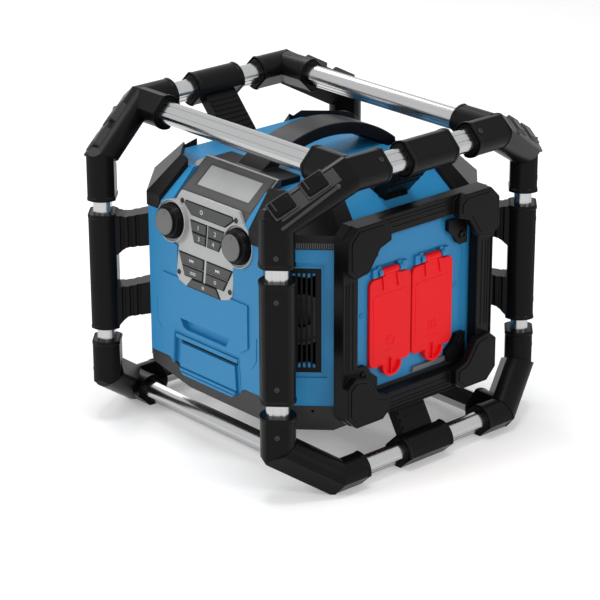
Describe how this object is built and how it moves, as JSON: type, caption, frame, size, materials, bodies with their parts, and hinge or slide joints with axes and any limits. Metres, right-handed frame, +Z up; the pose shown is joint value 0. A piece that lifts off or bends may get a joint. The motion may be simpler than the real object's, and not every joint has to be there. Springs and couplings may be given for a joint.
{
  "type": "jobsite radio",
  "caption": "Octagonal jobsite radio hung in a cage of aluminium rails and rubber corners, with tuning knobs, keys, sockets under hinged flaps, corner speakers and a carrying handle.",
  "frame": {"origin": "on the floor, under the middle of the cage", "axes": "+Z up, the control panel faces -Y, the socket panel faces +X"},
  "size_m": [0.4046, 0.423, 0.3908],
  "materials": {
    "rail": "satin, drawn along its length",
    "cage_rubber": "moulded, semi-matt",
    "housing_blue": "fine satin texture",
    "black_trim": "fine leather grain",
    "grille": "satin",
    "speaker": "painted",
    "graphite": "satin",
    "window": "clear over a reflective display",
    "panel_silver": "metallic paint",
    "knob": "moulded",
    "steel": "zinc plated",
    "flap_red": "satin",
    "tray": "satin",
    "circuit_board": "solder mask"
  },
  "bodies": {
    "radio": {"rails_across": "rail", "rails_along": "rail", "posts": "rail", "corner_top_front_left": "cage_rubber", "corner_top_front_right": "cage_rubber", "corner_top_rear_right": "cage_rubber", "corner_top_rear_left": "cage_rubber", "corner_low_front_left": "cage_rubber", "corner_low_front_right": "cage_rubber", "corner_low_rear_right": "cage_rubber", "corner_low_rear_left": "cage_rubber", "post_sleeve_front_left": "cage_rubber", "post_sleeve_front_right": "cage_rubber", "post_sleeve_rear_right": "cage_rubber", "post_sleeve_rear_left": "cage_rubber", "bracket_top_left": "cage_rubber", "bracket_top_right": "cage_rubber", "bracket_low_left": "cage_rubber", "bracket_low_right": "cage_rubber", "housing": "housing_blue", "top_cover": "housing_blue", "base": "black_trim", "cap_front_left": "black_trim", "cap_front_right": "black_trim", "cap_rear_right": "black_trim", "cap_rear_left": "black_trim", "grille_front_left": "grille", "grille_front_right": "grille", "grille_rear_right": "grille", "grille_rear_left": "grille", "corner_speakers": "speaker", "subwoofer": "speaker", "display_hood": "graphite", "display_window": "window", "control_panel": "panel_silver", "encoders": "steel", "socket_panel": "housing_blue", "bumper": "black_trim", "flap_pins": "steel", "handle": "black_trim", "door_pins": "steel", "battery_tray": "tray", "circuit_boards": "circuit_board", "screws": "steel"},
    "power_key": {"power_key": "graphite"},
    "preset_key_1": {"preset_key_1": "graphite"},
    "preset_key_2": {"preset_key_2": "graphite"},
    "preset_key_3": {"preset_key_3": "graphite"},
    "preset_key_4": {"preset_key_4": "graphite"},
    "media_key_1": {"media_key_1": "graphite"},
    "media_key_2": {"media_key_2": "graphite"},
    "media_key_3": {"media_key_3": "graphite"},
    "media_key_4": {"media_key_4": "graphite"},
    "mode_key": {"mode_key": "graphite"},
    "knob_left": {"knob_left": "knob"},
    "knob_right": {"knob_right": "knob"},
    "flap_front": {"flap_front": "flap_red"},
    "flap_rear": {"flap_rear": "flap_red"},
    "battery_door": {"battery_door": "black_trim"},
    "bay_door": {"bay_door": "black_trim"}
  },
  "joints": [
    {"name": "power_key_press", "type": "slide", "parent": "radio", "child": "power_key", "axis": [0, 0.9947, -0.1028], "range_m": [0, 0.001], "stiffness_N_per_m": 400, "springref_m": -0.0005},
    {"name": "preset_key_1_press", "type": "slide", "parent": "radio", "child": "preset_key_1", "axis": [0, 0.9947, -0.1028], "range_m": [0, 0.001], "stiffness_N_per_m": 400, "springref_m": -0.0005},
    {"name": "preset_key_2_press", "type": "slide", "parent": "radio", "child": "preset_key_2", "axis": [0, 0.9947, -0.1028], "range_m": [0, 0.001], "stiffness_N_per_m": 400, "springref_m": -0.0005},
    {"name": "preset_key_3_press", "type": "slide", "parent": "radio", "child": "preset_key_3", "axis": [0, 0.9947, -0.1028], "range_m": [0, 0.001], "stiffness_N_per_m": 400, "springref_m": -0.0005},
    {"name": "preset_key_4_press", "type": "slide", "parent": "radio", "child": "preset_key_4", "axis": [0, 0.9947, -0.1028], "range_m": [0, 0.001], "stiffness_N_per_m": 400, "springref_m": -0.0005},
    {"name": "media_key_1_press", "type": "slide", "parent": "radio", "child": "media_key_1", "axis": [0, 0.9947, -0.1028], "range_m": [0, 0.001], "stiffness_N_per_m": 400, "springref_m": -0.0005},
    {"name": "media_key_2_press", "type": "slide", "parent": "radio", "child": "media_key_2", "axis": [0, 0.9947, -0.1028], "range_m": [0, 0.001], "stiffness_N_per_m": 400, "springref_m": -0.0005},
    {"name": "media_key_3_press", "type": "slide", "parent": "radio", "child": "media_key_3", "axis": [0, 0.9947, -0.1028], "range_m": [0, 0.001], "stiffness_N_per_m": 400, "springref_m": -0.0005},
    {"name": "media_key_4_press", "type": "slide", "parent": "radio", "child": "media_key_4", "axis": [0, 0.9947, -0.1028], "range_m": [0, 0.001], "stiffness_N_per_m": 400, "springref_m": -0.0005},
    {"name": "mode_key_press", "type": "slide", "parent": "radio", "child": "mode_key", "axis": [0, 0.9947, -0.1028], "range_m": [0, 0.001], "stiffness_N_per_m": 400, "springref_m": -0.0005},
    {"name": "knob_left_turn", "type": "hinge", "parent": "radio", "child": "knob_left", "pos_m": [-0.0585, -0.16701, 0.26781], "axis": [0, -0.9947, 0.1028], "continuous": true},
    {"name": "knob_right_turn", "type": "hinge", "parent": "radio", "child": "knob_right", "pos_m": [0.0585, -0.16701, 0.26781], "axis": [0, -0.9947, 0.1028], "continuous": true},
    {"name": "flap_front_swing", "type": "hinge", "parent": "radio", "child": "flap_front", "pos_m": [0.1633, -0.033, 0.236], "axis": [0, -1, 0], "range_deg": [0, 120], "stiffness_Nm_per_rad": 0.03, "springref_deg": -28.65},
    {"name": "flap_rear_swing", "type": "hinge", "parent": "radio", "child": "flap_rear", "pos_m": [0.1633, 0.033, 0.236], "axis": [0, -1, 0], "range_deg": [0, 120], "stiffness_Nm_per_rad": 0.03, "springref_deg": -28.65},
    {"name": "battery_door_swing", "type": "hinge", "parent": "radio", "child": "battery_door", "pos_m": [-0.1585, 0, 0.112], "axis": [0, -1, 0], "range_deg": [0, 100]},
    {"name": "bay_door_swing", "type": "hinge", "parent": "radio", "child": "bay_door", "pos_m": [0, 0.164, 0.194], "axis": [-1, 0, 0], "range_deg": [0, 100]}
  ]
}
